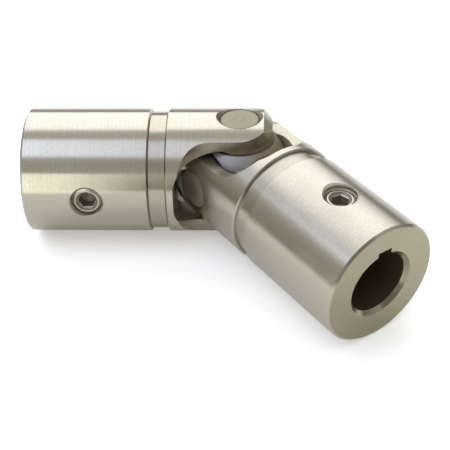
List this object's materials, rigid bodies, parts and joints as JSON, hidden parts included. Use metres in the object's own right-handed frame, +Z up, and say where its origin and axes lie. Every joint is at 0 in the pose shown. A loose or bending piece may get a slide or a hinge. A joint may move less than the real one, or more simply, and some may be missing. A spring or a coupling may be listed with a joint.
{
  "type": "universal joint",
  "caption": "Single pin and block universal joint with two keyed hubs, a boot groove on each, socket set screws and a chamfered centre block, lying bent.",
  "frame": {"origin": "centre of the left bore where its straight wall begins, 0.8 mm inside the hub's end face", "axes": "+X along the left bore towards the joint, +Z up from the surface it lies on, both shaft axes level, the right hub bent 52.2 degrees towards -Y"},
  "size_m": [0.0798, 0.0545, 0.0254],
  "materials": {
    "yoke_steel": "satin ground, nickel coloured",
    "block_steel": "satin, case hardened",
    "pin_steel": "fine turned ends",
    "rivet_steel": "upset ends",
    "screw_steel": "bright, socket head"
  },
  "bodies": {
    "left_yoke": {"left_yoke": "yoke_steel"},
    "cross": {"center_block": "block_steel", "long_pin": "pin_steel", "short_pin_front": "pin_steel", "short_pin_back": "pin_steel", "rivet": "rivet_steel"},
    "right_yoke": {"right_yoke": "yoke_steel"},
    "left_set_screw": {"left_set_screw": "screw_steel"},
    "right_set_screw": {"right_set_screw": "screw_steel"}
  },
  "joints": [
    {"name": "left_pivot", "type": "hinge", "parent": "left_yoke", "child": "cross", "pos_m": [0.0426, 0, 0], "axis": [0, 0.0924, 0.9957], "range_deg": [0, 104.16]},
    {"name": "right_pivot", "type": "hinge", "parent": "cross", "child": "right_yoke", "pos_m": [0.0426, 0, 0], "axis": [0.7889, 0.6119, -0.0568], "range_deg": [-24.19, 15.81]},
    {"name": "left_screw_travel", "type": "slide", "parent": "left_yoke", "child": "left_set_screw", "axis": [0, 0.9957, -0.0924], "range_m": [-0.0035, 0.0009]},
    {"name": "right_screw_travel", "type": "slide", "parent": "right_yoke", "child": "right_set_screw", "axis": [-0.0449, -0.0348, -0.9984], "range_m": [-0.0043, 0.0001]}
  ]
}
